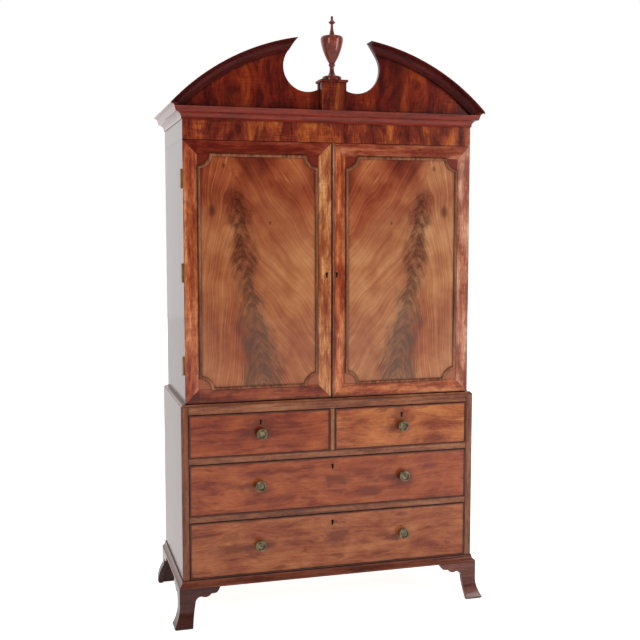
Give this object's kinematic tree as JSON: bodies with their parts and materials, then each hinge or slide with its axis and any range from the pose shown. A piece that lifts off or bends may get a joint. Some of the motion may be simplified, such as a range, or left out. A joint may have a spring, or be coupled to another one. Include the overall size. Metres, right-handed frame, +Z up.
{
  "type": "linen press",
  "caption": "Tall two-stage mahogany linen press: drawers on splayed bracket feet, panelled doors over sliding trays, broken arched pediment with urn.",
  "frame": {"origin": "on the floor under the middle of the piece, half way between its front-most and rear-most points", "axes": "+X to the right as seen from the front, +Y to the back, +Z up; the doors and drawers face -Y"},
  "size_m": [1.332, 0.598, 2.443],
  "materials": {
    "mahogany": "satin",
    "figured_mahogany": "satin",
    "pine": "matt",
    "oak": "matt",
    "brass": "aged"
  },
  "bodies": {
    "case": {"foot_front_left": "mahogany", "foot_front_right": "mahogany", "foot_rear_left": "mahogany", "foot_rear_right": "mahogany", "foot_blocks": "pine", "base_moulding": "mahogany", "lower_side_left": "mahogany", "lower_side_right": "mahogany", "lower_top_board": "pine", "lower_bottom_board": "pine", "lower_back": "pine", "drawer_dividers": "mahogany", "drawer_runners": "pine", "waist_moulding": "mahogany", "hinge_case_leaves": "brass", "upper_side_left": "mahogany", "upper_side_right": "mahogany", "upper_bottom_board": "pine", "upper_top_board": "pine", "upper_back": "pine", "tray_runners": "pine", "frieze_box": "mahogany", "cornice_moulding": "mahogany", "pediment_board": "figured_mahogany", "raking_mouldings": "mahogany", "pediment_plinth": "mahogany", "urn_finial": "mahogany"},
    "drawer_short_left": {"drawer_short_left_front": "figured_mahogany", "drawer_short_left_box": "oak", "drawer_short_left_brass": "brass"},
    "drawer_short_left_bolt": {"drawer_short_left_lock_bolt": "brass"},
    "drawer_short_right": {"drawer_short_right_front": "figured_mahogany", "drawer_short_right_box": "oak", "drawer_short_right_brass": "brass"},
    "drawer_short_right_bolt": {"drawer_short_right_lock_bolt": "brass"},
    "drawer_long_upper": {"drawer_long_upper_front": "figured_mahogany", "drawer_long_upper_box": "oak", "drawer_long_upper_brass": "brass"},
    "drawer_long_upper_bolt": {"drawer_long_upper_lock_bolt": "brass"},
    "drawer_long_lower": {"drawer_long_lower_front": "figured_mahogany", "drawer_long_lower_box": "oak", "drawer_long_lower_brass": "brass"},
    "drawer_long_lower_bolt": {"drawer_long_lower_lock_bolt": "brass"},
    "door_left": {"door_left_frame": "mahogany", "door_left_panel": "figured_mahogany", "door_left_astragal": "mahogany", "door_left_hinges": "brass", "door_left_brass": "brass"},
    "door_right": {"door_right_frame": "mahogany", "door_right_panel": "figured_mahogany", "door_right_astragal": "mahogany", "door_right_hinges": "brass", "door_lock": "brass"},
    "door_right_bolt": {"door_lock_bolt": "brass"},
    "top_flush_bolt": {"flush_bolt_top": "brass"},
    "bottom_flush_bolt": {"flush_bolt_bottom": "brass"},
    "tray_body_1": {"tray_1": "oak"},
    "tray_body_2": {"tray_2": "oak"},
    "tray_body_3": {"tray_3": "oak"},
    "tray_body_4": {"tray_4": "oak"}
  },
  "joints": [
    {"name": "drawer_short_left_slide", "type": "slide", "parent": "case", "child": "drawer_short_left", "axis": [0, -1, 0], "range_m": [0, 0.4]},
    {"name": "drawer_short_left_lock", "type": "slide", "parent": "drawer_short_left", "child": "drawer_short_left_bolt", "axis": [0, 0, 1], "range_m": [0, 0.008]},
    {"name": "drawer_short_right_slide", "type": "slide", "parent": "case", "child": "drawer_short_right", "axis": [0, -1, 0], "range_m": [0, 0.4]},
    {"name": "drawer_short_right_lock", "type": "slide", "parent": "drawer_short_right", "child": "drawer_short_right_bolt", "axis": [0, 0, 1], "range_m": [0, 0.008]},
    {"name": "drawer_long_upper_slide", "type": "slide", "parent": "case", "child": "drawer_long_upper", "axis": [0, -1, 0], "range_m": [0, 0.4]},
    {"name": "drawer_long_upper_lock", "type": "slide", "parent": "drawer_long_upper", "child": "drawer_long_upper_bolt", "axis": [0, 0, 1], "range_m": [0, 0.008]},
    {"name": "drawer_long_lower_slide", "type": "slide", "parent": "case", "child": "drawer_long_lower", "axis": [0, -1, 0], "range_m": [0, 0.4]},
    {"name": "drawer_long_lower_lock", "type": "slide", "parent": "drawer_long_lower", "child": "drawer_long_lower_bolt", "axis": [0, 0, 1], "range_m": [0, 0.008]},
    {"name": "door_left_hinge", "type": "hinge", "parent": "case", "child": "door_left", "pos_m": [-0.6092, -0.22175, 1.422], "axis": [0, 0, -1], "range_deg": [0, 170]},
    {"name": "door_right_hinge", "type": "hinge", "parent": "case", "child": "door_right", "pos_m": [0.6092, -0.22175, 1.422], "axis": [0, 0, 1], "range_deg": [0, 170]},
    {"name": "door_lock_slide", "type": "slide", "parent": "door_right", "child": "door_right_bolt", "axis": [-1, 0, 0], "range_m": [0, 0.009]},
    {"name": "top_flush_bolt_slide", "type": "slide", "parent": "door_left", "child": "top_flush_bolt", "axis": [0, 0, 1], "range_m": [0, 0.012]},
    {"name": "bottom_flush_bolt_slide", "type": "slide", "parent": "door_left", "child": "bottom_flush_bolt", "axis": [0, 0, -1], "range_m": [0, 0.012]},
    {"name": "tray_1_slide", "type": "slide", "parent": "case", "child": "tray_body_1", "axis": [0, -1, 0], "range_m": [0, 0.025]},
    {"name": "tray_2_slide", "type": "slide", "parent": "case", "child": "tray_body_2", "axis": [0, -1, 0], "range_m": [0, 0.025]},
    {"name": "tray_3_slide", "type": "slide", "parent": "case", "child": "tray_body_3", "axis": [0, -1, 0], "range_m": [0, 0.025]},
    {"name": "tray_4_slide", "type": "slide", "parent": "case", "child": "tray_body_4", "axis": [0, -1, 0], "range_m": [0, 0.025]}
  ]
}
